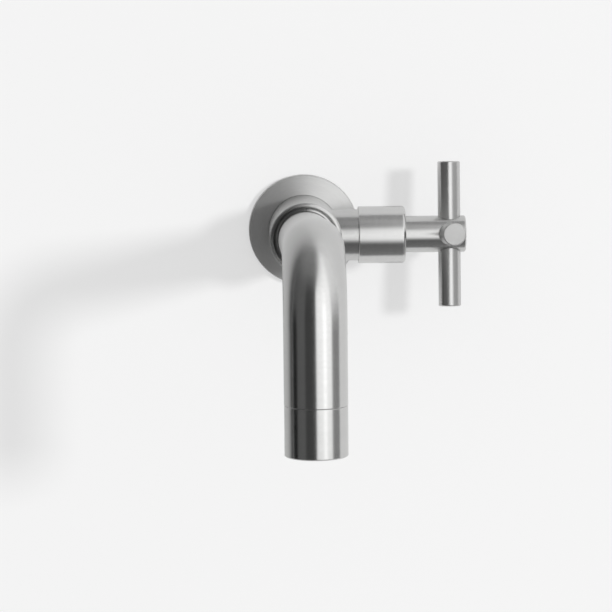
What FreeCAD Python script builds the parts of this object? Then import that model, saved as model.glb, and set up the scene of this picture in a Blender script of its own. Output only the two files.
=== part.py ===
import FreeCAD, Part
import math
import os

V = FreeCAD.Vector

# A wall-mounted tap with a swivelling spout and a quarter-turn cross handle.
# +Z is up, the wall is the plane y = 0 and the tap stands out of it towards -Y.
# The main axis meets the wall at the origin, and the handle is on the +X side.
# Sizes are in millimetres. A depth is measured from the wall, out into the room.

# Angles in degrees, and the sides of a hexagon
full_turn = 360.0
half_turn = 180.0
quarter_turn = 90.0
hexagon_sides = 6

# Fits, as radial clearances
thread_play = 0.05
press_play = 0.03
running_play = 0.06
hole_play = 0.3

# Inlet nipple, a 1/2 inch pipe shank that screws into the wall
shank_radius = 10.48
shank_length = 22.0
shank_bore = 5.8
shank_chamfer = 1.0
key_flats = 12.0
key_depth = 8.0
relief_radius = 9.3
relief_length = 2.0
nipple_thread_radius = 10.0
nipple_thread_length = 8.5
gasket_length = 1.5
gasket_bore = 6.2

# Flange cover
flange_radius = 25.15
flange_depth = 4.5
flange_skin = 1.6
flange_rim = 1.6
flange_edge = 0.35
boss_wall = 2.1
boss_gap = 0.8
flange_play = 0.07

# Main body
wall_gap = 1.5
collar_wall = 1.82
body_front_length = 20.85
body_edge = 0.55
body_lip = 0.3
inlet_radius = 5.5
flange_seal_depth = 3.1
flange_seal_section = 1.6

# Spout socket in the body's front
port_overlap = 1.6
socket_room = 2.5
bearing_room = 1.85
collar_bore_depth = 3.4
bearing_length = 2.6
bearing_slit = 0.6

# Valve chamber and branch
valve_depth = 36.0
branch_radius = 11.42
branch_end = 30.0
seat_x = 8.0
seat_radius = 4.5
chamber_radius = 8.6
chamber_end = 18.5

# Valve sleeve
sleeve_radius = 12.69
sleeve_start = 23.67
sleeve_end = 44.57
sleeve_rounding = 1.5
sleeve_back_chamfer = 0.25
sleeve_end_wall = 2.0
sleeve_inner = 10.6
sleeve_seal_x = 27.0
sleeve_seal_section = 1.3

# Valve cartridge
cartridge_thread_radius = 8.33
nose_radius = 7.4
nose_bore = 6.2
nose_gap = 0.6
seal_length = 2.2
seal_wall = 1.6
fixed_disc_length = 2.5
moving_disc_length = 2.25
disc_gap = 0.05
disc_play = 0.1
port_inner = 1.4
port_outer = 5.0
port_angle = 76.0
lug_width = 2.4
lug_height = 0.9
window_width = 7.0
window_length = 3.8
cartridge_collar_radius = 10.2
cartridge_collar_length = 1.2
cartridge_flats = 17.0
cartridge_hex_length = 4.8
cartridge_undercut = 7.0
undercut_length = 1.7

# Spindle
spindle_radius = 4.0
fork_depth = 0.9
fork_width = 2.9
fork_length = 7.8
web_width = 5.0
web_length = 2.2
shoulder_length = 1.2
washer_length = 1.0
axial_play = 0.1
spindle_seal_section = 1.13
spindle_groove_first = 23.0
spindle_groove_pitch = 3.4
spindle_seal_count = 2
circlip_length = 0.7
circlip_radius = 5.5
circlip_seat = 3.4
circlip_gap_angle = 50.0
spline_teeth = 20
spline_root = 3.55
spline_gap_share = 0.3
spline_rise_share = 0.15
spline_tip_share = 0.4
spline_engagement = 10.0

# Quarter-turn stop
stop_ring_length = 1.7
stop_ring_radius = 5.3
stop_outer = 7.5
stop_travel = 90.0
stop_lug_angle = 86.0
stop_lug_middle = 90.0
stop_margin = 1.0
stop_gap = 0.3

# Cross handle
hub_gap = 0.8
hub_radius = 8.14
hub_end = 71.43
hub_edge = 0.5
hub_bore_room = 0.5
arm_x = 64.38
arm_radius = 5.0
arm_reach = 32.3
arm_edge = 0.4
stud_radius = 2.5
stud_gap = 0.4
grub_offset = 6.0
grub_radius = 2.0
grub_inset = 0.5
grub_key = 2.0
grub_key_depth = 1.6
handle_lean = 4.1

# Spout
reach = 218.95
spout_rise = 3.35
bend_radius = 27.65
tube_radius = 12.2
tube_wall = 1.5
tube_edge = 0.15
neck_show = 3.9
neck_bore = 7.0
neck_chamfer = 0.8
neck_spigot_length = 9.0
neck_spigot_root = 2.0
neck_groove_offset = 2.1
neck_seal_section = 1.53
slot_offset = 5.4
slot_cut = 1.4
slot_angle = -90.0
swivel_angle = 45.0
swivel_margin = 1.0
screw_radius = 2.0
screw_tip_radius = 1.2
screw_inset = 0.6
screw_key = 2.0
screw_key_depth = 1.4
screw_shoulder_gap = 0.25

# Outlet
outlet_drop = 68.95
outlet_length = 19.5
outlet_step = 0.05
outlet_seam_chamfer = 0.3
outlet_edge = 0.45
outlet_wall = 1.35
outlet_ledge = 2.4
outlet_spigot_length = 7.0
outlet_seal_section = 1.2
aerator_inset = 1.0
aerator_length = 9.1
aerator_floor = 2.0
aerator_wall = 1.2
aerator_row_count = 7
aerator_hole_flats = 1.7
aerator_hole_pitch = 2.4
screen_length = 0.5
screen_hole_side = 0.8
screen_hole_pitch = 1.9
screen_row_count = 7
aerator_washer_length = 1.6

# Places that follow from the sizes above
neck_radius = tube_radius
collar_bore = neck_radius + bearing_room
body_radius = collar_bore + collar_wall
outlet_radius = tube_radius - outlet_step
nipple_thread_start = wall_gap + relief_length
nipple_thread_end = nipple_thread_start + nipple_thread_length
inlet_floor = nipple_thread_end + gasket_length
socket_radius = neck_radius + running_play
socket_floor = valve_depth + chamber_radius - port_overlap
body_front = valve_depth + body_front_length
neck_back = socket_floor + socket_room
neck_front = body_front + neck_show
slot_depth = neck_back + slot_offset
slot_floor = neck_radius - slot_cut
seam_drop = outlet_drop - outlet_length
cartridge_bore = cartridge_thread_radius + thread_play
fixed_disc_start = seat_x + seal_length
moving_disc_start = fixed_disc_start + fixed_disc_length + disc_gap
moving_disc_end = moving_disc_start + moving_disc_length
shoulder_start = moving_disc_end + web_length
washer_start = shoulder_start + shoulder_length
cavity_end = washer_start + washer_length + axial_play
cartridge_end = branch_end + cartridge_collar_length + cartridge_hex_length
circlip_start = cartridge_end + stop_gap
stop_ring_start = circlip_start + circlip_length + stop_gap
stop_ring_end = stop_ring_start + stop_ring_length
horn_end = stop_ring_end + stop_gap
hub_start = horn_end + hub_gap
spline_end = hub_start + spline_engagement
grub_x = hub_start + grub_offset
guide_radius = spindle_radius + running_play
horn_inner = stop_ring_radius + hole_play
flange_bore = body_radius + flange_play
sleeve_bore = branch_radius + press_play
tube_bore = tube_radius - tube_wall
outlet_bore = outlet_radius - outlet_wall
outlet_throat = outlet_bore - outlet_ledge
aerator_stack = aerator_length + screen_length + aerator_washer_length
outlet_shoulder = outlet_drop - aerator_inset - aerator_stack

# Each axis is its origin, its direction and a direction square to it
main_axis = (V(0, 0, 0), V(0, -1, 0), V(1, 0, 0))
valve_axis = (V(0, -valve_depth, 0), V(1, 0, 0), V(0, 0, 1))
outlet_axis = (V(0, -reach, 0), V(0, 0, -1), V(1, 0, 0))
rise_radians = math.radians(spout_rise)
rise_direction = V(0, -math.cos(rise_radians), math.sin(rise_radians))
rise_axis = (V(0, -neck_front, 0), rise_direction, V(1, 0, 0))

# Each round seal is its axis, its middle along it, and its inner and outer radius
flange_seal_place = (main_axis, flange_seal_depth, flange_bore - flange_seal_section, flange_bore)
sleeve_seal_place = (valve_axis, sleeve_seal_x, sleeve_bore - sleeve_seal_section, sleeve_bore)
neck_seal_place = (main_axis, neck_back + neck_groove_offset,
                   socket_radius - press_play - neck_seal_section, socket_radius - press_play)
outlet_seal_place = (outlet_axis, seam_drop - outlet_spigot_length / 2,
                     tube_bore - outlet_seal_section, tube_bore)


def place(axis, along, out=0.0):
    """A point at a distance along an axis and a distance out from it."""
    origin, direction, outward = axis
    return origin + direction * along + outward * out


def turned(axis, outline):
    """A turned solid from a closed outline of (along, radius) points."""
    points = [place(axis, along, radius) for along, radius in outline]
    face = Part.Face(Part.makePolygon(points + points[:1]))
    return face.revolve(axis[0], axis[1], full_turn)


def rod(axis, start, end, radius):
    return Part.makeCylinder(radius, end - start, place(axis, start), axis[1])


def ring(axis, start, end, inner, outer):
    return rod(axis, start, end, outer).cut(rod(axis, start, end, inner))


def chamfered_rod(axis, start, end, radius, start_chamfer, end_chamfer):
    outline = [(start, 0.0)]
    outline += [(start, radius - start_chamfer)]
    if start_chamfer > 0:
        outline += [(start + start_chamfer, radius)]
    outline += [(end - end_chamfer, radius)]
    if end_chamfer > 0:
        outline += [(end, radius - end_chamfer)]
    outline += [(end, 0.0)]
    return turned(axis, outline)


def rounding_cut(axis, end, radius, rounding):
    """What comes off the outer corner of a turned end to leave it round."""
    start = end - rounding
    inner = radius - rounding
    corner = ring(axis, start, end, inner, radius)
    return corner.cut(Part.makeTorus(inner, rounding, place(axis, start), axis[1]))


def o_ring(axis, middle, inner, outer):
    """A round-section seal between an inner and an outer radius."""
    section = (outer - inner) / 2
    return Part.makeTorus(inner + section, section, place(axis, middle), axis[1])


def seal_groove(axis, middle, inner, outer, surface):
    """The groove that holds an o_ring of the same sizes, cut in from a surface radius."""
    half = (outer - inner) / 2 + press_play
    return ring(axis, middle - half, middle + half, inner, surface + hole_play)


def hexagon(axis, start, end, flats):
    """A hexagonal prism, measured across its flats."""
    corner = flats / 2 / math.cos(math.pi / hexagon_sides)
    origin, direction, outward = axis
    sideways = direction.cross(outward)
    points = []
    for index in range(hexagon_sides):
        angle = 2 * math.pi * index / hexagon_sides
        offset = outward * (corner * math.cos(angle)) + sideways * (corner * math.sin(angle))
        points.append(place(axis, start) + offset)
    face = Part.Face(Part.makePolygon(points + points[:1]))
    return face.extrude(direction * (end - start))


def sector(axis, start, end, inner, outer, middle, span):
    """A slice of a ring, centred on an angle from the axis's outward direction."""
    origin, direction, outward = axis
    sideways = direction.cross(outward)
    angles = [math.radians(middle + span * share) for share in (-0.5, 0.0, 0.5)]
    aims = [outward * math.cos(angle) + sideways * math.sin(angle) for angle in angles]
    base = place(axis, start)
    outer_arc = Part.Arc(*[base + aim * outer for aim in aims]).toShape()
    inner_arc = Part.Arc(*[base + aim * inner for aim in aims]).toShape()
    first_side = Part.makeLine(base + aims[0] * inner, base + aims[0] * outer)
    last_side = Part.makeLine(base + aims[2] * outer, base + aims[2] * inner)
    wire = Part.Wire([first_side, outer_arc, last_side, inner_arc])
    return Part.Face(wire).extrude(direction * (end - start))


def block(axis, start, end, width, height):
    """A bar along an axis: width is across, height is along the outward direction."""
    origin, direction, outward = axis
    sideways = direction.cross(outward)
    corner = place(axis, start) - outward * (height / 2) - sideways * (width / 2)
    points = [corner]
    points.append(corner + outward * height)
    points.append(corner + outward * height + sideways * width)
    points.append(corner + sideways * width)
    face = Part.Face(Part.makePolygon(points + points[:1]))
    return face.extrude(direction * (end - start))


def turn_handle(shape):
    """Handle pieces are drawn upright, then leaned to where the handle rests."""
    leaned = shape.copy()
    leaned.rotate(valve_axis[0], valve_axis[1], -handle_lean)
    return leaned


def splined(start, end, root, tip):
    """A toothed shaft along the valve axis, with straight-sided teeth."""
    points = []
    step = 2 * math.pi / spline_teeth
    rise_end = spline_gap_share + spline_rise_share
    corners = [(0.0, root), (spline_gap_share, root), (rise_end, tip)]
    corners.append((rise_end + spline_tip_share, tip))
    for tooth in range(spline_teeth):
        for share, radius in corners:
            angle = (tooth + share) * step
            offset = V(0, radius * math.sin(angle), radius * math.cos(angle))
            points.append(place(valve_axis, start) + offset)
    face = Part.Face(Part.makePolygon(points + points[:1]))
    return face.extrude(valve_axis[1] * (end - start))


def grub_screw(axis, start, end, radius, key, key_depth):
    """A headless screw whose hexagon socket is at its end."""
    shank = rod(axis, start, end, radius)
    return shank.cut(hexagon(axis, end - key_depth, end, key))


def tap_body():
    barrel = chamfered_rod(main_axis, wall_gap, body_front, body_radius, 0.0, body_edge)
    branch = rod(valve_axis, 0.0, branch_end, branch_radius)
    body = barrel.fuse(branch)
    cuts = [rod(main_axis, wall_gap, inlet_floor, nipple_thread_radius + thread_play)]
    cuts.append(rod(main_axis, inlet_floor, valve_depth, inlet_radius))
    cuts.append(rod(valve_axis, -seat_radius, seat_x, seat_radius))
    cuts.append(rod(valve_axis, seat_x, chamber_end, chamber_radius))
    cuts.append(rod(valve_axis, chamber_end, branch_end, cartridge_bore))
    cuts.append(rod(main_axis, socket_floor, body_front, socket_radius))
    counterbore = [(body_front - collar_bore_depth, 0.0)]
    counterbore += [(body_front - collar_bore_depth, collar_bore)]
    counterbore += [(body_front - body_lip, collar_bore)]
    counterbore += [(body_front, collar_bore + body_lip)]
    counterbore += [(body_front, 0.0)]
    cuts.append(turned(main_axis, counterbore))
    cuts.append(seal_groove(*flange_seal_place, body_radius))
    cuts.append(seal_groove(*sleeve_seal_place, branch_radius))
    cuts.append(rod(screw_axis(), neck_radius, body_radius + hole_play,
                    screw_radius + thread_play))
    return body.cut(Part.makeCompound(cuts)).removeSplitter()


def screw_axis():
    """The spout's set screw comes up from below, square to the main axis."""
    return (V(0, -slot_depth, 0), V(0, 0, -1), V(1, 0, 0))


def inlet_nipple():
    outline = [(-shank_length, 0.0)]
    outline += [(-shank_length, shank_radius - shank_chamfer)]
    outline += [(-shank_length + shank_chamfer, shank_radius)]
    outline += [(wall_gap, shank_radius)]
    outline += [(wall_gap, relief_radius)]
    outline += [(nipple_thread_start, relief_radius)]
    outline += [(nipple_thread_start, nipple_thread_radius)]
    outline += [(nipple_thread_end, nipple_thread_radius)]
    outline += [(nipple_thread_end, 0.0)]
    nipple = turned(main_axis, outline)
    nipple = nipple.cut(rod(main_axis, -shank_length, nipple_thread_end, shank_bore))
    return nipple.cut(hexagon(main_axis, -shank_length, key_depth - shank_length, key_flats))


def inlet_gasket():
    return ring(main_axis, nipple_thread_end, inlet_floor, gasket_bore, nipple_thread_radius)


def flange_cover():
    bore = flange_bore
    skin_back = flange_depth - flange_skin
    outline = [(boss_gap, bore)]
    outline += [(boss_gap, bore + boss_wall)]
    outline += [(skin_back, bore + boss_wall)]
    outline += [(skin_back, flange_radius - flange_rim)]
    outline += [(0.0, flange_radius - flange_rim)]
    outline += [(0.0, flange_radius)]
    outline += [(flange_depth - flange_edge, flange_radius)]
    outline += [(flange_depth, flange_radius - flange_edge)]
    outline += [(flange_depth, bore)]
    return turned(main_axis, outline)


def flange_seal():
    inner = flange_bore + boss_wall + hole_play
    outer = flange_radius - flange_rim - hole_play
    return ring(main_axis, 0.0, flange_depth - flange_skin, inner, outer)


def flange_oring():
    return o_ring(*flange_seal_place)


def bearing_ring():
    """The split ring that fills the gap between the collar and the spout's neck."""
    start = body_front - collar_bore_depth
    outer = collar_bore - press_play
    split = ring(main_axis, start, start + bearing_length, neck_radius + running_play, outer)
    slit = Part.makeBox(bearing_slit, bearing_length, outer)
    slit.translate(V(-bearing_slit / 2, -start - bearing_length, 0))
    return split.cut(slit)


def spout_set_screw():
    axis = screw_axis()
    tip = rod(axis, slot_floor + screw_shoulder_gap, neck_radius + running_play, screw_tip_radius)
    shank_start = neck_radius + running_play
    shank = grub_screw(axis, shank_start, body_radius - screw_inset, screw_radius,
                       screw_key, screw_key_depth)
    return shank.fuse(tip).removeSplitter()


def valve_sleeve():
    inside_end = sleeve_end - sleeve_end_wall
    outline = [(sleeve_start, sleeve_bore)]
    outline += [(sleeve_start, sleeve_radius - sleeve_back_chamfer)]
    outline += [(sleeve_start + sleeve_back_chamfer, sleeve_radius)]
    outline += [(sleeve_end, sleeve_radius)]
    outline += [(sleeve_end, hub_radius + hole_play)]
    outline += [(inside_end, hub_radius + hole_play)]
    outline += [(inside_end, sleeve_inner)]
    outline += [(branch_end, sleeve_inner)]
    outline += [(branch_end, sleeve_bore)]
    corner = rounding_cut(valve_axis, sleeve_end, sleeve_radius, sleeve_rounding)
    return turned(valve_axis, outline).cut(corner)


def sleeve_oring():
    return o_ring(*sleeve_seal_place)


def cartridge_body():
    nose_start = seat_x + nose_gap
    thread_start = chamber_end + nose_gap
    undercut_start = branch_end - undercut_length
    outline = [(nose_start, 0.0)]
    outline += [(nose_start, nose_radius)]
    outline += [(thread_start, nose_radius)]
    outline += [(thread_start, cartridge_thread_radius)]
    outline += [(undercut_start, cartridge_thread_radius)]
    outline += [(undercut_start, cartridge_undercut)]
    outline += [(branch_end, cartridge_undercut)]
    outline += [(branch_end, cartridge_collar_radius)]
    outline += [(branch_end + cartridge_collar_length, cartridge_collar_radius)]
    outline += [(branch_end + cartridge_collar_length, 0.0)]
    body = turned(valve_axis, outline)
    body = body.fuse(hexagon(valve_axis, branch_end + cartridge_collar_length,
                             cartridge_end, cartridge_flats))
    free_angle = stop_travel + stop_lug_angle + 2 * stop_margin
    body = body.fuse(sector(valve_axis, cartridge_end, horn_end, horn_inner, stop_outer,
                            stop_horn_middle(), full_turn - free_angle))
    cuts = [rod(valve_axis, nose_start, cavity_end, nose_bore)]
    cuts.append(rod(valve_axis, cavity_end, cartridge_end, guide_radius))
    slot_end = fixed_disc_start + fixed_disc_length
    cuts.append(block(valve_axis, nose_start, slot_end, 2 * chamber_radius,
                      lug_width + 2 * disc_play))
    window_start = moving_disc_start + disc_play
    cuts.append(block(valve_axis, window_start, window_start + window_length, window_width,
                      2 * chamber_radius))
    return body.cut(Part.makeCompound(cuts)).removeSplitter()


def stop_horn_middle():
    """The stop faces the middle of the stop ring's travel from across the axis."""
    lug_rest = stop_lug_middle - handle_lean
    return lug_rest + stop_travel / 2 + half_turn


def cartridge_oring():
    middle = branch_end - undercut_length / 2
    return o_ring(valve_axis, middle, cartridge_undercut, cartridge_bore)


def seat_seal():
    outer = nose_bore - disc_play
    return ring(valve_axis, seat_x, fixed_disc_start, outer - seal_wall, outer)


def disc_ports(start, end, middle):
    """Two facing ports, one each side of the disc's middle."""
    ports = []
    for side in (0.0, half_turn):
        ports.append(sector(valve_axis, start, end, port_inner, port_outer,
                            middle + side, port_angle))
    return Part.makeCompound(ports)


def fixed_disc():
    end = fixed_disc_start + fixed_disc_length
    disc = rod(valve_axis, fixed_disc_start, end, nose_bore - disc_play)
    lugs = block(valve_axis, fixed_disc_start, end, 2 * (nose_bore + lug_height), lug_width)
    return disc.fuse(lugs).cut(disc_ports(fixed_disc_start, end, 0.0)).removeSplitter()


def moving_disc():
    disc = rod(valve_axis, moving_disc_start, moving_disc_end, nose_bore - 2 * disc_play)
    disc = disc.cut(disc_ports(moving_disc_start, moving_disc_end, quarter_turn))
    slot = block(valve_axis, moving_disc_end - fork_depth - disc_gap, moving_disc_end,
                 fork_width + disc_play, fork_length + disc_play)
    return turn_handle(disc.cut(slot))


def spindle_seal_places():
    places = []
    for count in range(spindle_seal_count):
        middle = spindle_groove_first + count * spindle_groove_pitch
        outer = guide_radius - press_play
        places.append((valve_axis, middle, outer - spindle_seal_section, outer))
    return places


def spindle():
    head_radius = nose_bore - 2 * disc_play
    web = block(valve_axis, moving_disc_end, shoulder_start, web_width, 2 * head_radius)
    web = web.common(rod(valve_axis, moving_disc_end, shoulder_start, head_radius))
    fork = block(valve_axis, moving_disc_end - fork_depth, moving_disc_end, fork_width, fork_length)
    shoulder = rod(valve_axis, shoulder_start, washer_start, head_radius)
    shaft = rod(valve_axis, washer_start, stop_ring_start, spindle_radius)
    teeth = splined(stop_ring_start, spline_end, spline_root, spindle_radius)
    stem = fork.multiFuse([web, shoulder, shaft, teeth])
    grooves = []
    for place_on_axis in spindle_seal_places():
        grooves.append(seal_groove(*place_on_axis, spindle_radius))
    grooves.append(ring(valve_axis, circlip_start, circlip_start + circlip_length,
                        circlip_seat, spindle_radius + hole_play))
    return turn_handle(stem.cut(Part.makeCompound(grooves)).removeSplitter())


def spindle_orings():
    return Part.makeCompound([o_ring(*place_on_axis) for place_on_axis in spindle_seal_places()])


def slide_washer():
    outer = nose_bore - 2 * disc_play
    washer = ring(valve_axis, washer_start, washer_start + washer_length,
                  spindle_radius + press_play, outer)
    return turn_handle(washer)


def circlip():
    clip = ring(valve_axis, circlip_start, circlip_start + circlip_length,
                circlip_seat, circlip_radius)
    gap = sector(valve_axis, circlip_start, circlip_start + circlip_length,
                 circlip_seat - hole_play, circlip_radius + hole_play, 0.0, circlip_gap_angle)
    return turn_handle(clip.cut(gap))


def stop_ring():
    collar = rod(valve_axis, stop_ring_start, stop_ring_end, stop_ring_radius)
    lug = sector(valve_axis, stop_ring_start, stop_ring_end, stop_ring_radius - hole_play,
                 stop_outer, stop_lug_middle, stop_lug_angle)
    bore = splined(stop_ring_start, stop_ring_end, spline_root + press_play,
                   spindle_radius + press_play)
    return turn_handle(collar.fuse(lug).cut(bore).removeSplitter())


def arm_axis(direction):
    return (V(arm_x, -valve_depth, 0), direction, V(1, 0, 0))


def grub_axis():
    return (V(grub_x, -valve_depth, 0), V(0, 0, -1), V(1, 0, 0))


def handle_hub():
    hub = chamfered_rod(valve_axis, hub_start, hub_end, hub_radius, 0.0, hub_edge)
    cuts = [splined(hub_start, spline_end, spline_root + press_play, spindle_radius + press_play)]
    cuts.append(rod(valve_axis, spline_end, spline_end + hub_bore_room, spindle_radius))
    for direction in (V(0, 0, 1), V(0, 1, 0)):
        cuts.append(rod(arm_axis(direction), -hub_radius, hub_radius, arm_radius + press_play))
    cuts.append(rod(grub_axis(), spline_root, hub_radius + hole_play, grub_radius + thread_play))
    return turn_handle(hub.cut(Part.makeCompound(cuts)).removeSplitter())


def hub_grub_screw():
    start = spindle_radius + press_play
    screw = grub_screw(grub_axis(), start, hub_radius - grub_inset, grub_radius,
                       grub_key, grub_key_depth)
    return turn_handle(screw)


def cross_bar():
    axis = arm_axis(V(0, 0, 1))
    bar = chamfered_rod(axis, -arm_reach, arm_reach, arm_radius, arm_edge, arm_edge)
    tapped = rod(arm_axis(V(0, 1, 0)), -arm_radius, arm_radius, stud_radius + thread_play)
    return turn_handle(bar.cut(tapped))


def side_arm(direction):
    """An arm that seats on the cross bar and screws into its middle."""
    axis = arm_axis(direction)
    seat = arm_radius + press_play
    arm = chamfered_rod(axis, seat, arm_reach, arm_radius, 0.0, arm_edge)
    stud = rod(axis, stud_gap / 2, seat, stud_radius)
    return turn_handle(arm.fuse(stud).removeSplitter())


def front_arm():
    return side_arm(V(0, -1, 0))


def rear_arm():
    return side_arm(V(0, 1, 0))


def spout_neck():
    """The turned plug that swivels in the body, with a spigot for the tube."""
    plug = chamfered_rod(main_axis, neck_back, neck_front + neck_spigot_length, neck_radius,
                         neck_chamfer, 0.0)
    beyond = rod(rise_axis, 0.0, neck_back, 2 * neck_radius)
    plug = plug.cut(beyond)
    spigot = rod(rise_axis, -neck_spigot_root, neck_spigot_length, tube_bore - press_play)
    neck = plug.fuse(spigot)
    bore = rod(main_axis, neck_back, neck_front, neck_bore)
    risen_bore = rod(rise_axis, -neck_spigot_root, neck_spigot_length, neck_bore)
    groove = seal_groove(*neck_seal_place, neck_radius)
    tip_angle = math.degrees(math.asin(screw_tip_radius / slot_floor))
    slot_span = 2 * (swivel_angle + swivel_margin + tip_angle)
    slot_half = screw_tip_radius + running_play
    slot = sector(main_axis, slot_depth - slot_half, slot_depth + slot_half, slot_floor,
                  neck_radius + hole_play, slot_angle, slot_span)
    return neck.cut(Part.makeCompound([bore, risen_bore, groove, slot])).removeSplitter()


def spout_oring():
    return o_ring(*neck_seal_place)


def spout_tube():
    """The tube rises a little from the neck, turns down in one bend and ends at the seam."""
    rise = math.radians(spout_rise)
    bend_depth = reach - bend_radius * (1 + math.sin(rise))
    straight = (bend_depth - neck_front) / math.cos(rise)
    start = place(rise_axis, 0.0)
    section = Part.Face([Part.Wire(Part.makeCircle(tube_radius, start, rise_direction)),
                         Part.Wire(Part.makeCircle(tube_bore, start, rise_direction))])
    first = section.extrude(rise_direction * straight)
    bend_section = section.copy()
    bend_section.translate(rise_direction * straight)
    bend_start = place(rise_axis, straight)
    bend_centre = bend_start + V(0, -math.sin(rise), -math.cos(rise)) * bend_radius
    bend = bend_section.revolve(bend_centre, V(1, 0, 0), quarter_turn + spout_rise)
    down_start = -bend_centre.z
    last = ring(outlet_axis, down_start, seam_drop, tube_bore, tube_radius)
    last = last.cut(turned(outlet_axis, [(seam_drop - tube_edge, tube_radius),
                                         (seam_drop, tube_radius),
                                         (seam_drop, tube_radius - tube_edge)]))
    return first.multiFuse([bend, last]).removeSplitter()


def outlet_housing():
    spigot = tube_bore - press_play
    outline = [(seam_drop - outlet_spigot_length, outlet_throat)]
    outline += [(seam_drop - outlet_spigot_length, spigot)]
    outline += [(seam_drop, spigot)]
    outline += [(seam_drop, outlet_radius - outlet_seam_chamfer)]
    outline += [(seam_drop + outlet_seam_chamfer, outlet_radius)]
    outline += [(outlet_drop - outlet_edge, outlet_radius)]
    outline += [(outlet_drop, outlet_radius - outlet_edge)]
    outline += [(outlet_drop, outlet_bore)]
    outline += [(outlet_shoulder, outlet_bore)]
    outline += [(outlet_shoulder, outlet_throat)]
    return turned(outlet_axis, outline).cut(seal_groove(*outlet_seal_place, spigot))


def outlet_oring():
    return o_ring(*outlet_seal_place)


def aerator_washer():
    start = outlet_shoulder
    return ring(outlet_axis, start, start + aerator_washer_length, outlet_throat,
                outlet_bore - press_play)


def hole_places(row_count, pitch):
    """The middles of a hexagonal pattern of holes, in the plane of the outlet."""
    rings = row_count // 2
    row_pitch = pitch * math.sin(2 * math.pi / hexagon_sides)
    places = []
    for row in range(-rings, rings + 1):
        count = row_count - abs(row)
        for column in range(count):
            x = (column - (count - 1) / 2) * pitch
            places.append((x, row * row_pitch))
    return places


def aerator_screen():
    start = outlet_shoulder + aerator_washer_length
    end = start + screen_length
    disc = rod(outlet_axis, start, end, outlet_bore - press_play)
    holes = []
    for x, y in hole_places(screen_row_count, screen_hole_pitch):
        axis = (outlet_axis[0] + V(x, y, 0), outlet_axis[1], outlet_axis[2])
        holes.append(block(axis, start, end, screen_hole_side, screen_hole_side))
    return disc.cut(Part.makeCompound(holes))


def aerator_cage():
    start = outlet_shoulder + aerator_washer_length + screen_length
    end = start + aerator_length
    cage = rod(outlet_axis, start, end, outlet_bore - press_play)
    cage = cage.cut(rod(outlet_axis, start, end - aerator_floor,
                        outlet_bore - press_play - aerator_wall))
    holes = []
    for x, y in hole_places(aerator_row_count, aerator_hole_pitch):
        axis = (outlet_axis[0] + V(x, y, 0), outlet_axis[1], outlet_axis[2])
        holes.append(hexagon(axis, end - aerator_floor, end, aerator_hole_flats))
    return cage.cut(Part.makeCompound(holes))


nodes = [tap_body, inlet_nipple, inlet_gasket, flange_cover, flange_seal, flange_oring,
         bearing_ring, spout_set_screw, valve_sleeve, sleeve_oring, cartridge_body,
         cartridge_oring, seat_seal, fixed_disc, moving_disc, spindle, spindle_orings,
         slide_washer, circlip, stop_ring, handle_hub, hub_grub_screw, cross_bar,
         front_arm, rear_arm, spout_neck, spout_oring, spout_tube, outlet_housing,
         outlet_oring, aerator_washer, aerator_screen, aerator_cage]

os.makedirs("parts", exist_ok=True)
for node in nodes:
    node().exportStep("parts/" + node.__name__ + ".step")
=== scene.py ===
import math

import bpy
from mathutils import Matrix, Vector


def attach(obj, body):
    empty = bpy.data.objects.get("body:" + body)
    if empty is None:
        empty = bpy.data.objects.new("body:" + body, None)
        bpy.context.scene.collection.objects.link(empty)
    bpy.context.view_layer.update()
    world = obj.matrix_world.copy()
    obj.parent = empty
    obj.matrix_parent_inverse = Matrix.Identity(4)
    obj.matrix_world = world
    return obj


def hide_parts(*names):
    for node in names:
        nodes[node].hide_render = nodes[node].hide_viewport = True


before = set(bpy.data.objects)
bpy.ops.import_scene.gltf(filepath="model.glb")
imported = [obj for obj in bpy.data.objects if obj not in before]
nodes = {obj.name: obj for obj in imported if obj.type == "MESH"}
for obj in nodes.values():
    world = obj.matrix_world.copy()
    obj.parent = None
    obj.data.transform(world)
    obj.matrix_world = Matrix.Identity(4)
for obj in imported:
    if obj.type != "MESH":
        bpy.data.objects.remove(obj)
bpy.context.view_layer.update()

# Places in metres, as the part's source has them
MM = 0.001
BEND_DEPTH = 191.3 * MM
BEND_DROP = 20.06 * MM
BEND_RADIUS = 27.65 * MM
VALVE_DEPTH = 36.0 * MM
REACH = 218.95 * MM
ARM_PLACE = 64.38 * MM

ORIGIN = (0.0, 0.0, 0.0)
VALVE_CENTRE = (0.0, -VALVE_DEPTH, 0.0)
ARM_CENTRE = (ARM_PLACE, -VALVE_DEPTH, 0.0)
OUTLET_CENTRE = (0.0, -REACH, 0.0)

STEEL = (0.61, 0.61, 0.605)
# A lighter copy of the steel, used on the sleeve alone: a painted highlight that makes its
# reflections brighter
SLEEVE_STEEL_PAINTED_BRIGHTER = (0.66, 0.66, 0.655)
SPRING_STEEL = (0.42, 0.42, 0.43)
BRASS = (0.62, 0.45, 0.2)
BLACK = (0.022, 0.022, 0.023)
FIBRE_RED = (0.3, 0.05, 0.04)
FOAM_GREY = (0.16, 0.16, 0.16)
CERAMIC_WHITE = (0.78, 0.77, 0.73)
NYLON_WHITE = (0.62, 0.62, 0.6)


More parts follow.
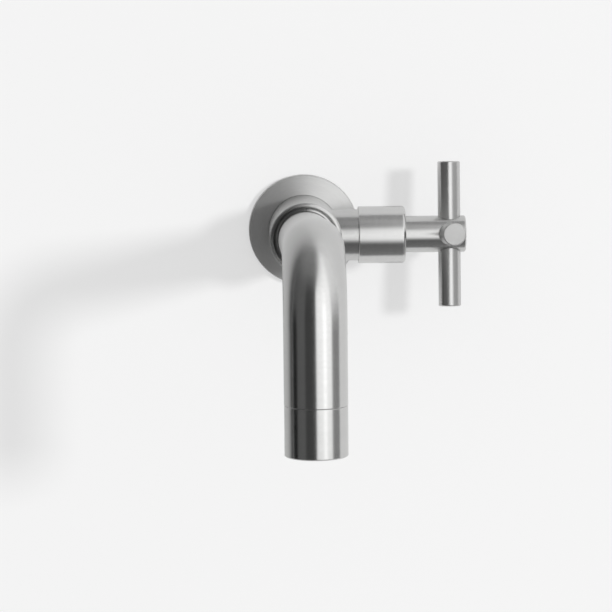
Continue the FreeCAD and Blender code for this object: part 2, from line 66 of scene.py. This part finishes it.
class Graph:
    """A short way to write the nodes of a material or of the world."""

    def __init__(self, owner):
        owner.use_nodes = True
        owner.node_tree.nodes.clear()
        self.tree = owner.node_tree

    def node(self, kind, **settings):
        made = self.tree.nodes.new(kind)
        for name, value in settings.items():
            setattr(made, name, value)
        return made

    def feed(self, value, socket):
        if isinstance(value, bpy.types.NodeSocket):
            self.tree.links.new(value, socket)
        elif value is not None:
            socket.default_value = value

    def feed_all(self, values, sockets):
        for value, socket in zip(values, sockets):
            self.feed(value, socket)

    def math(self, operation, a, b=None):
        made = self.node("ShaderNodeMath", operation=operation)
        self.feed_all((a, b), made.inputs)
        return made.outputs[0]

    def plus(self, a, b):
        return self.math("ADD", a, b)

    def minus(self, a, b):
        return self.math("SUBTRACT", a, b)

    def times(self, a, b):
        return self.math("MULTIPLY", a, b)

    def hypotenuse(self, a, b):
        return self.math("SQRT", self.plus(self.times(a, a), self.times(b, b)))

    def blend(self, share, a, b):
        """The number a where the share is 0, and b where it is 1."""
        return self.plus(self.times(share, b), self.times(self.minus(1.0, share), a))

    def vector(self, operation, a, b=None, out=0):
        made = self.node("ShaderNodeVectorMath", operation=operation)
        self.feed_all((a, b), made.inputs)
        return made.outputs[out]

    def combine(self, x, y, z):
        made = self.node("ShaderNodeCombineXYZ")
        self.feed_all((x, y, z), made.inputs)
        return made.outputs[0]

    def split(self, vector):
        made = self.node("ShaderNodeSeparateXYZ")
        self.feed(vector, made.inputs[0])
        return made.outputs

    def object_point(self):
        return self.node("ShaderNodeTexCoord").outputs["Object"]

    def noise(self, vector, scale, detail, roughness):
        made = self.node("ShaderNodeTexNoise")
        self.feed(vector, made.inputs["Vector"])
        made.inputs["Scale"].default_value = scale
        made.inputs["Detail"].default_value = detail
        made.inputs["Roughness"].default_value = roughness
        return made.outputs["Fac"]

    def spread(self, value, low, high, to_low, to_high, curve="LINEAR"):
        """The value's run from low to high, taken to a run from to_low to to_high."""
        made = self.node("ShaderNodeMapRange", clamp=True, interpolation_type=curve)
        self.feed_all((value, low, high, to_low, to_high), made.inputs)
        return made.outputs[0]

    def smooth(self, value, low, high, to_low, to_high):
        return self.spread(value, low, high, to_low, to_high, curve="SMOOTHSTEP")

    def mix(self, share, a, b):
        """The colour a where the share is 0, and b where it is 1."""
        made = self.node("ShaderNodeMix", data_type="RGBA")
        self.feed(share, made.inputs["Factor"])
        self.feed(a, made.inputs["A"])
        self.feed(b, made.inputs["B"])
        return made.outputs["Result"]

    def bump(self, height, normal, strength, distance):
        made = self.node("ShaderNodeBump")
        made.inputs["Strength"].default_value = strength
        made.inputs["Distance"].default_value = distance
        self.feed(height, made.inputs["Height"])
        self.feed(normal, made.inputs["Normal"])
        return made.outputs[0]

    def finish(self, shader, kind="ShaderNodeOutputMaterial"):
        self.feed(shader.outputs[0], self.node(kind).inputs["Surface"])


def new_material(name):
    material = bpy.data.materials.new(name)
    graph = Graph(material)
    shader = graph.node("ShaderNodeBsdfPrincipled")
    graph.finish(shader)
    return material, graph, shader


def place(name, data):
    """A new object of the scene that shows a mesh, a lamp or the camera's view."""
    made = bpy.data.objects.new(name, data)
    bpy.context.scene.collection.objects.link(made)
    return made


def shade(colour, factor, lift=0.0):
    """The colour made darker or lighter."""
    return tuple(min(1.0, part * factor + lift) for part in colour) + (1.0,)


# The dot product of a rounded normal and the face's own, where an edge starts and is full
EDGE_START = 0.999
EDGE_FULL = 0.93

# The radius of that rounding
METAL_EDGE = 0.35 * MM
SOFT_EDGE = 0.2 * MM


def edge_mask(graph, radius):
    """Near 1 on the rounded-off edges of a piece and 0 on its faces."""
    bevel = graph.node("ShaderNodeBevel", samples=4)
    bevel.inputs["Radius"].default_value = radius
    geometry = graph.node("ShaderNodeNewGeometry")
    aligned = graph.vector("DOT_PRODUCT", bevel.outputs[0], geometry.outputs["Normal"], out=1)
    return graph.spread(aligned, EDGE_START, EDGE_FULL, 0.0, 1.0), bevel.outputs[0]


def cylinder_places(graph, axis, centre):
    """The distance along an axis, out from it and round it, and the direction round it."""
    from_centre = graph.vector("SUBTRACT", graph.object_point(), centre)
    x, y, z = graph.split(from_centre)
    along = {"X": x, "Y": y, "Z": z}[axis]
    first, second = {"X": (y, z), "Y": (z, x), "Z": (x, y)}[axis]
    out = graph.hypotenuse(first, second)
    angle = graph.math("ARCTAN2", first, second)
    way = {"X": (1.0, 0.0, 0.0), "Y": (0.0, 1.0, 0.0), "Z": (0.0, 0.0, 1.0)}[axis]
    return along, out, angle, graph.vector("CROSS_PRODUCT", graph.combine(*way), from_centre)


NEARLY_ZERO = 0.00001


def spout_places(graph):
    """The same along the spout's straight run, its bend and its drop."""
    x, y, z = graph.split(graph.object_point())
    depth = graph.minus(graph.times(y, -1.0), BEND_DEPTH)
    height = graph.plus(z, BEND_DROP)
    beyond = graph.math("MAXIMUM", depth, 0.0)
    turn = graph.math("ARCTAN2", beyond, graph.math("MAXIMUM", height, NEARLY_ZERO))
    run = graph.math("MINIMUM", depth, 0.0)
    drop = graph.math("MAXIMUM", graph.times(height, -1.0), 0.0)
    along = graph.plus(graph.plus(run, drop), graph.times(turn, BEND_RADIUS))
    cosine = graph.math("COSINE", turn)
    sine = graph.math("SINE", turn)
    above = graph.math("MAXIMUM", height, 0.0)
    from_bend = graph.plus(graph.times(beyond, sine), graph.times(above, cosine))
    out_part = graph.minus(from_bend, BEND_RADIUS)
    angle = graph.math("ARCTAN2", x, out_part)
    out = graph.hypotenuse(x, out_part)
    axis = graph.combine(0.0, graph.times(cosine, -1.0), graph.times(sine, -1.0))
    from_middle = graph.combine(x, graph.times(graph.times(sine, out_part), -1.0),
                                graph.times(cosine, out_part))
    return along, out, angle, graph.vector("CROSS_PRODUCT", axis, from_middle)


def about(axis, centre=ORIGIN):
    return lambda graph: cylinder_places(graph, axis, centre)


# The noise of turned metal: the scales of its lines, blotches and smudges, and their shares
FINE_LINES = 3600.0
BROAD_LINES = 600.0
BROAD_PLACE = 0.004
LINE_DRIFT = 0.0016
BLOTCHES = 55.0
SMUDGES = 16.0
FINE_SHARE = 0.65
GRAIN_SHARE = 0.55
NOISE_RUN = (0.3, 0.7)
SMUDGE_RUN = (0.45, 0.75)
SMUDGE_SHARE = 0.25
LINE_HEIGHT = 0.02 * MM

# How much darker, lighter and more worn the metal gets, and how much smoother its edges are
DARK_PART = 0.93
LIGHT_PART = 1.04
WORN_PART = 1.18
WORN_SHARE = 0.6
EDGE_POLISH = 0.05

# Highlights stretch across the turned lines, a quarter turn from the shader's own way
QUARTER_TURN = 0.25


def brushed(name, places, colour=STEEL, low=0.22, high=0.25, anisotropy=0.6, bump=0.012,
            face_grain=False, crown=0.0, metal=1.0):
    """Metal with fine turned lines round an axis: grain, soft blotches and brighter worn edges.

    Low and high are the roughness. A crown is the slight slope outward that a turned face has.
    Metal below 1 gives a satin face, which scatters the rest of the light evenly."""
    material, graph, shader = new_material(name)
    along, out, angle, round_way = places(graph)
    line_place = graph.plus(along, out) if face_grain else along
    drift = graph.times(angle, LINE_DRIFT)
    lines = graph.noise(graph.combine(line_place, drift, 0.0), FINE_LINES,
                        detail=2.0, roughness=0.6)
    bands = graph.noise(graph.combine(line_place, drift, BROAD_PLACE), BROAD_LINES,
                        detail=3.0, roughness=0.6)
    point = graph.object_point()
    cloud = graph.noise(point, BLOTCHES, detail=3.0, roughness=0.5)
    smudge = graph.noise(point, SMUDGES, detail=2.0, roughness=0.5)
    edge, facing = edge_mask(graph, METAL_EDGE)
    grain = graph.plus(graph.times(lines, FINE_SHARE), graph.times(bands, 1.0 - FINE_SHARE))
    mottling = graph.plus(graph.times(grain, GRAIN_SHARE), graph.times(cloud, 1.0 - GRAIN_SHARE))
    rough = graph.spread(mottling, *NOISE_RUN, low, high)
    rough = graph.minus(rough, graph.times(edge, EDGE_POLISH))
    graph.feed(rough, shader.inputs["Roughness"])
    dark = shade(colour, DARK_PART)
    base = graph.mix(graph.spread(grain, *NOISE_RUN, 0.0, 1.0), dark, shade(colour, LIGHT_PART))
    base = graph.mix(graph.spread(smudge, *SMUDGE_RUN, 0.0, SMUDGE_SHARE), base, dark)
    base = graph.mix(graph.times(edge, WORN_SHARE), base, shade(colour, WORN_PART))
    graph.feed(base, shader.inputs["Base Color"])
    shader.inputs["Metallic"].default_value = metal
    shader.inputs["Anisotropic"].default_value = anisotropy
    shader.inputs["Anisotropic Rotation"].default_value = QUARTER_TURN
    if crown:
        facing = graph.bump(graph.times(out, -crown), facing, strength=1.0, distance=1.0)
    graph.feed(graph.bump(grain, facing, bump, LINE_HEIGHT), shader.inputs["Normal"])
    tangent = graph.node("ShaderNodeVectorTransform", vector_type="VECTOR",
                         convert_from="OBJECT", convert_to="WORLD")
    graph.feed(graph.vector("NORMALIZE", round_way), tangent.inputs[0])
    graph.feed(tangent.outputs[0], shader.inputs["Tangent"])
    return material


# The same for the plain finishes: their broad noise, their roughness to each side, their wear
BROAD_NOISE = 0.06
PLAIN_ROUGHNESS_RUN = 0.06
PLAIN_WORN_SHARE = 0.5
PLAIN_WORN_LIFT = 0.01


def plain(name, colour, roughness, metallic=0.0, scale=400.0, bump=0.1, distance=0.03 * MM,
          variation=0.12, coat=0.0):
    """Rubber, fibre, foam, ceramic, nylon or spring steel: mottling, fine bump, lighter edges."""
    material, graph, shader = new_material(name)
    point = graph.object_point()
    fine = graph.noise(point, scale, detail=3.0, roughness=0.6)
    broad = graph.noise(point, scale * BROAD_NOISE, detail=2.0, roughness=0.5)
    edge, facing = edge_mask(graph, SOFT_EDGE)
    both = graph.plus(graph.times(fine, 0.5), graph.times(broad, 0.5))
    base = graph.mix(graph.spread(both, *NOISE_RUN, 0.0, 1.0),
                     shade(colour, 1.0 - variation), shade(colour, 1.0 + variation))
    base = graph.mix(graph.times(edge, PLAIN_WORN_SHARE), base,
                     shade(colour, 1.0 + 2.0 * variation, PLAIN_WORN_LIFT))
    graph.feed(base, shader.inputs["Base Color"])
    rough = graph.spread(both, *NOISE_RUN, roughness - PLAIN_ROUGHNESS_RUN,
                         roughness + PLAIN_ROUGHNESS_RUN)
    graph.feed(rough, shader.inputs["Roughness"])
    shader.inputs["Metallic"].default_value = metallic
    shader.inputs["Coat Weight"].default_value = coat
    graph.feed(graph.bump(fine, facing, bump, distance), shader.inputs["Normal"])
    return material


spout_steel = brushed("steel_spout", spout_places)
outlet_steel = brushed("steel_outlet", about("Z", OUTLET_CENTRE))
body_steel = brushed("steel_body", about("Y"), face_grain=True)
flange_steel = brushed("steel_flange", about("Y"), face_grain=True, low=0.31, high=0.33,
                       anisotropy=0.25, crown=0.13, metal=0.72)
# The sleeve's steel is a lighter copy, which paints a brighter highlight on it
sleeve_steel = brushed("steel_sleeve", about("X", VALVE_CENTRE), colour=SLEEVE_STEEL_PAINTED_BRIGHTER)
hub_steel = brushed("steel_hub", about("X", VALVE_CENTRE))
bar_steel = brushed("steel_bar", about("Z", ARM_CENTRE), low=0.29, high=0.32, anisotropy=0.3)
arm_steel = brushed("steel_arm", about("Y", ARM_CENTRE), face_grain=True, low=0.44, high=0.5,
                    anisotropy=0.3)
brass = brushed("turned_brass", about("X", VALVE_CENTRE), colour=BRASS, low=0.24, high=0.34)
nipple_brass = brushed("thread_brass", about("Y"), colour=BRASS, low=0.28, high=0.38)
spring_steel = plain("spring_steel", SPRING_STEEL, 0.34, metallic=1.0)
rubber = plain("black_rubber", BLACK, 0.55)
fibre = plain("red_fibre", FIBRE_RED, 0.7, scale=900.0, bump=0.4)
foam = plain("grey_foam", FOAM_GREY, 0.85, scale=1500.0, bump=0.8, distance=0.3 * MM,
             variation=0.3)
ceramic = plain("lapped_ceramic", CERAMIC_WHITE, 0.2, variation=0.03, coat=0.3)
nylon = plain("white_nylon", NYLON_WHITE, 0.4, variation=0.05)

# What each node of the part is made of
finishes = {
    "tap_body": body_steel, "spout_neck": body_steel, "flange_cover": flange_steel,
    "valve_sleeve": sleeve_steel, "handle_hub": hub_steel, "cross_bar": bar_steel,
    "front_arm": arm_steel, "rear_arm": arm_steel, "spout_tube": spout_steel,
    "outlet_housing": outlet_steel, "inlet_nipple": nipple_brass, "inlet_gasket": fibre,
    "flange_seal": foam, "flange_oring": rubber, "bearing_ring": body_steel,
    "spout_set_screw": spring_steel, "sleeve_oring": rubber, "cartridge_body": brass,
    "cartridge_oring": rubber, "seat_seal": rubber, "fixed_disc": ceramic,
    "moving_disc": ceramic, "spindle": brass, "spindle_orings": rubber, "slide_washer": nylon,
    "circlip": spring_steel, "stop_ring": brass, "hub_grub_screw": spring_steel,
    "spout_oring": rubber, "outlet_oring": rubber, "aerator_washer": rubber,
    "aerator_screen": spring_steel, "aerator_cage": nylon,
}
for name, material in finishes.items():
    mesh = nodes[name].data
    mesh.materials.clear()
    mesh.materials.append(material)
    for face in mesh.polygons:
        face.material_index = 0


def new_mesh(name, points, faces, material):
    mesh = bpy.data.meshes.new(name)
    mesh.from_pydata(points, [], faces)
    mesh.materials.append(material)
    return mesh


SHARP_ANGLE = math.radians(32.0)


def new_piece(name, points, faces, material, body, node):
    """A mesh that stands for a CAD node and rides where that node rides."""
    mesh = new_mesh(name, points, faces, material)
    mesh.shade_smooth()
    mesh.set_sharp_from_angle(angle=SHARP_ANGLE)
    made = place(name, mesh)
    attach(made, body)
    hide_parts(node)


# The inlet nipple with its pipe thread, its bore and its hexagon for the key
SHANK_END = 22.0 * MM
SHANK_RADIUS = 10.48 * MM
SHANK_CHAMFER = 1.0 * MM
SHANK_SHOULDER = -1.5 * MM
THREAD_PITCH = 1.814 * MM
THREAD_DEPTH = 1.16 * MM
THREAD_START = 0.4 * MM
THREAD_ROWS = 12
THREAD_SLOPE = 2.9
THREAD_ROOT = 0.22
THREAD_END_HEIGHT = 0.35
NIPPLE_COLUMNS = 96
NIPPLE_FRONT = -12.0 * MM
RELIEF_END = -3.5 * MM
RELIEF_RADIUS = 9.3 * MM
FRONT_RADIUS = 10.0 * MM
BORE_RADIUS = 5.8 * MM
KEY_FLATS = 12.0 * MM
KEY_DEPTH = 8.0 * MM
KEY_SIDES = 6


def thread_radius(along, turn):
    """A pipe thread's radius: flat crests and roots, and a run-out at both ends."""
    phase = (along / THREAD_PITCH - turn) % 1.0
    height = min(max(abs(phase - 0.5) * THREAD_SLOPE - THREAD_ROOT, 0.0), 1.0)
    fade = min((along - THREAD_START) / THREAD_PITCH,
               (SHANK_END - SHANK_CHAMFER - along) / THREAD_PITCH + THREAD_END_HEIGHT, 1.0)
    return SHANK_RADIUS - THREAD_DEPTH * (1.0 - height) * max(fade, 0.0)


def key_radius(turn):
    """The hexagon socket's radius, as the angle round it goes."""
    in_side = (turn * KEY_SIDES) % 1.0 - 0.5
    return KEY_FLATS / 2.0 / math.cos(in_side * 2.0 * math.pi / KEY_SIDES)


def nipple_rings():
    """Each ring is its place along the nipple and its radius all the way round."""
    turns = [column / NIPPLE_COLUMNS for column in range(NIPPLE_COLUMNS)]
    chamfer_start = SHANK_END - SHANK_CHAMFER
    rings = [(SHANK_END, [min(SHANK_RADIUS - SHANK_CHAMFER, thread_radius(chamfer_start, turn))
                          for turn in turns])]
    step = THREAD_PITCH / THREAD_ROWS
    count = int((chamfer_start - THREAD_START) / step)
    for row in range(count + 1):
        along = chamfer_start - row * step
        rings.append((along, [thread_radius(along, turn) for turn in turns]))
    for along, radius in ((THREAD_START, SHANK_RADIUS), (SHANK_SHOULDER, SHANK_RADIUS),
                          (SHANK_SHOULDER, RELIEF_RADIUS), (RELIEF_END, RELIEF_RADIUS),
                          (RELIEF_END, FRONT_RADIUS), (NIPPLE_FRONT, FRONT_RADIUS),
                          (NIPPLE_FRONT, BORE_RADIUS), (SHANK_END - KEY_DEPTH, BORE_RADIUS)):
        rings.append((along, [radius] * NIPPLE_COLUMNS))
    for along in (SHANK_END - KEY_DEPTH, SHANK_END):
        rings.append((along, [key_radius(turn) for turn in turns]))
    return rings


def threaded_nipple():
    rings = nipple_rings()
    points, faces = [], []
    for along, radii in rings:
        for column, radius in enumerate(radii):
            angle = 2.0 * math.pi * column / NIPPLE_COLUMNS
            points.append((radius * math.cos(angle), along, radius * math.sin(angle)))
    for row in range(len(rings)):
        start = row * NIPPLE_COLUMNS
        following = (row + 1) % len(rings) * NIPPLE_COLUMNS
        for column in range(NIPPLE_COLUMNS):
            beside = (column + 1) % NIPPLE_COLUMNS
            faces.append((start + column, start + beside, following + beside, following + column))
    new_piece("nipple_threaded", points, faces, nipple_brass, "wall_body", "inlet_nipple")


threaded_nipple()


# The split ring in the collar: a fine gap round it, a face that slopes back and a skew cut
RING_INNER = 12.26 * MM
RING_OUTER = 14.02 * MM
RING_NECK = 13.66 * MM
RING_BACK = -53.45 * MM
RING_STEP = -54.3 * MM
RING_RIM = -55.68 * MM
RING_FRONT = -56.05 * MM
RING_EDGE = 0.14 * MM
RING_SLIT = 0.42 * MM
RING_SKEW = 0.06
RING_COLUMNS = 120


def split_ring():
    profile = [(RING_INNER, RING_BACK), (RING_OUTER, RING_BACK), (RING_OUTER, RING_STEP),
               (RING_NECK, RING_STEP), (RING_NECK, RING_RIM + RING_EDGE),
               (RING_NECK - RING_EDGE, RING_RIM), (RING_INNER + RING_EDGE, RING_FRONT),
               (RING_INNER, RING_FRONT + RING_EDGE)]
    size = len(profile)
    half = math.asin(RING_SLIT / (RING_INNER + RING_OUTER))
    points, faces = [], []
    for column in range(RING_COLUMNS + 1):
        start = half + (2.0 * math.pi - 2.0 * half) * column / RING_COLUMNS
        for radius, depth in profile:
            angle = start + RING_SKEW * (depth - RING_FRONT) / (RING_BACK - RING_FRONT)
            points.append((radius * math.sin(angle), depth, radius * math.cos(angle)))
    for column in range(RING_COLUMNS):
        start = column * size
        following = start + size
        for corner in range(size):
            beside = (corner + 1) % size
            faces.append((start + corner, start + beside, following + beside, following + corner))
    faces.append(tuple(reversed(range(size))))
    faces.append(tuple(RING_COLUMNS * size + corner for corner in range(size)))
    new_piece("bearing_ring_split", points, faces, body_steel, "wall_body",
              "bearing_ring")


split_ring()


# The wall. Four numbers are a step: where it starts, where it ends, and the level at each
WALL_RADIUS = 4.0
WALL_HOLE = 25.1 * MM
WALL_COLUMNS = 96
WALL_WHITE = 0.89
WALL_CAMERA_LESS = 0.47
WALL_CAMERA_GLOW = 0.49
# Painted shade in the wall that only the metal reflects: how it darkens to the far left, high up,
# on the left side and near the tap
WALL_SHADE_FAR_LEFT = (-0.05, -1.2, 1.0, 0.12)
WALL_SHADE_HIGH = (0.05, 1.0, 0.0, 0.2)
WALL_SHADE_LEFT_SIDE = (0.25, 0.0, 0.0, 1.0)
WALL_SHADE_NEAR = (-0.12, 0.02, 0.78, 0.93)


def wall_material():
    """White for the lamps, evenly pale for the camera, and with painted shade in what the metal
    reflects of it: a little darker all over, more so left of the tap and high up at the left, and
    much darker at the far left. From behind it is clear."""
    material = bpy.data.materials.new("wall_white")
    graph = Graph(material)
    diffuse = graph.node("ShaderNodeBsdfDiffuse")
    x, _, z = graph.split(graph.object_point())
    path = graph.node("ShaderNodeLightPath")
    camera = path.outputs["Is Camera Ray"]
    glossy = path.outputs["Is Glossy Ray"]
    far_left = graph.smooth(x, *WALL_SHADE_FAR_LEFT)
    high_left = graph.times(graph.smooth(z, *WALL_SHADE_HIGH), graph.smooth(x, *WALL_SHADE_LEFT_SIDE))
    near = graph.smooth(x, *WALL_SHADE_NEAR)
    unshaded_share = graph.times(far_left, graph.minus(near, high_left))
    # The painted shade, which only glossy rays see
    painted_shade = graph.times(glossy, graph.minus(1.0, unshaded_share))
    level = graph.minus(WALL_WHITE, graph.times(painted_shade, WALL_WHITE))
    level = graph.minus(level, graph.times(camera, WALL_CAMERA_LESS))
    graph.feed(graph.combine(level, level, level), diffuse.inputs["Color"])
    glow = graph.node("ShaderNodeEmission")
    graph.feed(graph.times(camera, WALL_CAMERA_GLOW), glow.inputs["Strength"])
    front = graph.node("ShaderNodeAddShader")
    graph.feed_all((diffuse.outputs[0], glow.outputs[0]), front.inputs)
    clear = graph.node("ShaderNodeBsdfTransparent")
    side = graph.node("ShaderNodeNewGeometry")
    both = graph.node("ShaderNodeMixShader")
    graph.feed_all((side.outputs["Backfacing"], front.outputs[0], clear.outputs[0]), both.inputs)
    graph.finish(both)
    return material


def wall():
    """A round stretch of wall with the opening that the flange covers."""
    points, faces = [], []
    for radius in (WALL_HOLE, WALL_RADIUS):
        for column in range(WALL_COLUMNS):
            angle = 2.0 * math.pi * column / WALL_COLUMNS
            points.append((radius * math.cos(angle), 0.0, radius * math.sin(angle)))
    for column in range(WALL_COLUMNS):
        beside = (column + 1) % WALL_COLUMNS
        faces.append((column, WALL_COLUMNS + column, WALL_COLUMNS + beside, beside))
    made = place("wall", new_mesh("wall", points, faces, wall_material()))


wall()


TAP_MIDDLE = Vector((0.0, -0.12, 0.0))


def toward(azimuth, elevation):
    """A direction: azimuth 0 is out of the wall and 90 is the handle's side."""
    a, e = math.radians(azimuth), math.radians(elevation)
    return Vector((math.sin(a) * math.cos(e), -math.cos(a) * math.cos(e), math.sin(e)))


def key_lamp(azimuth, elevation, distance, size, power):
    """The lamp that draws the tap's shadow on the wall."""
    lamp = bpy.data.lights.new("key", "AREA")
    lamp.shape = "DISK"
    lamp.size = size
    lamp.energy = power
    made = place("key", lamp)
    way = toward(azimuth, elevation)
    made.location = TAP_MIDDLE + way * distance
    made.rotation_mode = "QUATERNION"
    made.rotation_quaternion = way.to_track_quat("Z", "Y")
    made.visible_camera = False
    made.visible_glossy = False


key_lamp(azimuth=31.4, elevation=8.7, distance=6.0, size=0.7, power=178.0)


# The soft box: degrees round the tap's middle, and steps as the wall has them. BOX_SIDEWAYS is
# a step in how far a direction goes to the right, which is 1 straight to the right
BOX_DISTANCE = 0.38
BOX_STEPS = 16
BOX_AZIMUTHS = (-2.0, 50.0)
BOX_ELEVATIONS = (-46.0, 88.0)
BOX_LEAN = (22.0, 56.0, 0.0, 13.0)
BOX_LEFT = (-1.2, 2.4, 0.0, 1.0)
BOX_RIGHT = (42.0, 49.0, 1.0, 0.0)
BOX_BOTTOM = (-44.0, -10.0, 0.0, 1.0)
BOX_TOP = (22.0, 58.0, 1.0, 0.0)
BOX_TOP_RIGHT = (22.0, 58.0, 1.0, 0.75)
BOX_SIDEWAYS = (0.06, 0.4, 0.0, 1.0)
BOX_LEVEL = 1.4
CORE_LEFT = (16.0, 23.0, 0.0, 1.0)
CORE_RIGHT = (25.0, 32.0, 1.0, 0.0)
CORE_TOP = (10.0, 28.0, 1.0, 0.0)
CORE_LEVEL = 0.45
DEGREE = math.radians(1.0)


def soft_box_material():
    """Light with soft edges and a brighter core, and clear elsewhere."""
    material = bpy.data.materials.new("soft_box")
    graph = Graph(material)
    u, v, _ = graph.split(graph.node("ShaderNodeUVMap").outputs["UV"])
    azimuth = graph.spread(u, 0.0, 1.0, *BOX_AZIMUTHS)
    elevation = graph.spread(v, 0.0, 1.0, *BOX_ELEVATIONS)
    lean = graph.smooth(elevation, *BOX_LEAN)
    cover = graph.smooth(graph.minus(azimuth, lean), *BOX_LEFT)
    cover = graph.times(cover, graph.smooth(azimuth, *BOX_RIGHT))
    cover = graph.times(cover, graph.smooth(elevation, *BOX_BOTTOM))
    sideways = graph.times(graph.math("SINE", graph.times(azimuth, DEGREE)),
                           graph.math("COSINE", graph.times(elevation, DEGREE)))
    top = graph.blend(graph.smooth(sideways, *BOX_SIDEWAYS), graph.smooth(elevation, *BOX_TOP),
                      graph.smooth(elevation, *BOX_TOP_RIGHT))
    cover = graph.times(cover, top)
    core = graph.times(graph.smooth(azimuth, *CORE_LEFT), graph.smooth(azimuth, *CORE_RIGHT))
    core = graph.times(core, graph.smooth(elevation, *CORE_TOP))
    glow = graph.node("ShaderNodeEmission")
    graph.feed(graph.plus(graph.times(core, CORE_LEVEL), BOX_LEVEL), glow.inputs["Strength"])
    clear = graph.node("ShaderNodeBsdfTransparent")
    both = graph.node("ShaderNodeMixShader")
    graph.feed_all((cover, clear.outputs[0], glow.outputs[0]), both.inputs)
    graph.finish(both)
    return material


def between(ends, share):
    return ends[0] + (ends[1] - ends[0]) * share


def soft_box():
    """The large soft box at the right, which only the metal shows."""
    points, faces, shares = [], [], []
    for row in range(BOX_STEPS + 1):
        for column in range(BOX_STEPS + 1):
            share = (column / BOX_STEPS, row / BOX_STEPS)
            way = toward(between(BOX_AZIMUTHS, share[0]), between(BOX_ELEVATIONS, share[1]))
            points.append(TAP_MIDDLE + way * BOX_DISTANCE)
            shares.append(share)
    for row in range(BOX_STEPS):
        for column in range(BOX_STEPS):
            corner = row * (BOX_STEPS + 1) + column
            above = corner + BOX_STEPS + 1
            faces.append((corner, corner + 1, above + 1, above))
    mesh = new_mesh("soft_box", points, faces, soft_box_material())
    layer = mesh.uv_layers.new(name="UVMap")
    for loop in mesh.loops:
        layer.data[loop.index].uv = shares[loop.vertex_index]
    made = place("soft_box", mesh)
    made.visible_camera = False
    made.visible_diffuse = False
    made.visible_shadow = False
    made.visible_transmission = False


soft_box()


# The studio round the tap: degrees for azimuths and elevations, and steps as the wall has them.
# CEILING_LEVEL, CEILING_SIDE and REAR_START are steps in a direction's x or y
LEFT_LEVEL = (-36.0, -42.0, 0.05, 0.125)
BLACK_SIDE = (-70.0, -74.0, 0.0, 0.125)
BLACK_SIDE_LOW = (-4.0, 16.0, 1.0, 0.2)
RIGHT_LIFT = (0.0, 20.0, 0.0, 0.17)
LOW_LIFT = (-15.0, -60.0, 0.0, 0.06)
CEILING_LEVEL = (-0.05, 0.5, 0.25, 1.0)
CEILING_LEFT = (32.0, 66.0, 0.0, 1.0)
CEILING_RIGHT = (-14.0, 30.0, 0.0, 1.0)
CEILING_SIDE = (0.3, 0.6, 0.0, 1.0)
REAR_START = (-0.02, 0.1, 0.0, 1.0)
REAR_LEVEL = 0.75
FILL_LEVEL = 0.6
BACKDROP_LEVEL = 0.888
WHITE = (1.0, 1.0, 1.0, 1.0)


def studio_world():
    """Pale for the camera, an even fill for matt surfaces and a darker studio for the metal."""
    world = bpy.data.worlds.new("studio")
    bpy.context.scene.world = world
    graph = Graph(world)
    x, y, z = graph.split(graph.node("ShaderNodeTexCoord").outputs["Generated"])
    azimuth = graph.times(graph.math("ARCTAN2", x, graph.times(y, -1.0)), 1.0 / DEGREE)
    elevation = graph.times(graph.math("ARCSINE", z), 1.0 / DEGREE)
    black = graph.times(graph.smooth(azimuth, *BLACK_SIDE),
                        graph.smooth(elevation, *BLACK_SIDE_LOW))
    level = graph.minus(graph.smooth(azimuth, *LEFT_LEVEL), black)
    level = graph.plus(level, graph.smooth(azimuth, *RIGHT_LIFT))
    level = graph.plus(level, graph.smooth(elevation, *LOW_LIFT))
    share = graph.blend(graph.smooth(x, *CEILING_SIDE), graph.smooth(elevation, *CEILING_LEFT),
                        graph.smooth(elevation, *CEILING_RIGHT))
    level = graph.blend(share, level, graph.smooth(x, *CEILING_LEVEL))
    rear = graph.times(graph.smooth(y, *REAR_START), REAR_LEVEL)
    level = graph.math("MAXIMUM", level, rear)
    path = graph.node("ShaderNodeLightPath")
    shown = graph.blend(path.outputs["Is Glossy Ray"], FILL_LEVEL, level)
    shown = graph.blend(path.outputs["Is Camera Ray"], shown, BACKDROP_LEVEL)
    background = graph.node("ShaderNodeBackground")
    background.inputs["Color"].default_value = WHITE
    graph.feed(shown, background.inputs["Strength"])
    graph.finish(background, "ShaderNodeOutputWorld")


studio_world()


# The camera, at the photograph's viewing angle
CAMERA_PLACE = (-22.269 * MM, -1200.0 * MM, 95.601 * MM)
CAMERA_YAW = 0.0192
CAMERA_PITCH = -0.1089
CAMERA_ROLL = -0.0103
CAMERA_LENS = 154.0
CAMERA_SENSOR = 36.0
CAMERA_NEAREST = 0.01
CAMERA_FARTHEST = 50.0


def photo_camera():
    forward = Vector((math.sin(CAMERA_YAW) * math.cos(CAMERA_PITCH),
                      math.cos(CAMERA_YAW) * math.cos(CAMERA_PITCH), math.sin(CAMERA_PITCH)))
    right = Vector((math.cos(CAMERA_YAW), -math.sin(CAMERA_YAW), 0.0))
    up = right.cross(forward)
    rolled_right = right * math.cos(CAMERA_ROLL) + up * math.sin(CAMERA_ROLL)
    rolled_up = up * math.cos(CAMERA_ROLL) - right * math.sin(CAMERA_ROLL)
    view = bpy.data.cameras.new("camera")
    view.lens = CAMERA_LENS
    view.sensor_width = CAMERA_SENSOR
    view.clip_start = CAMERA_NEAREST
    view.clip_end = CAMERA_FARTHEST
    made = place("camera", view)
    turn = Matrix((rolled_right, rolled_up, -forward)).transposed()
    made.matrix_world = Matrix.Translation(CAMERA_PLACE) @ turn.to_4x4()
    return made


bpy.context.scene.camera = photo_camera()
bpy.context.scene.view_settings.view_transform = "Standard"
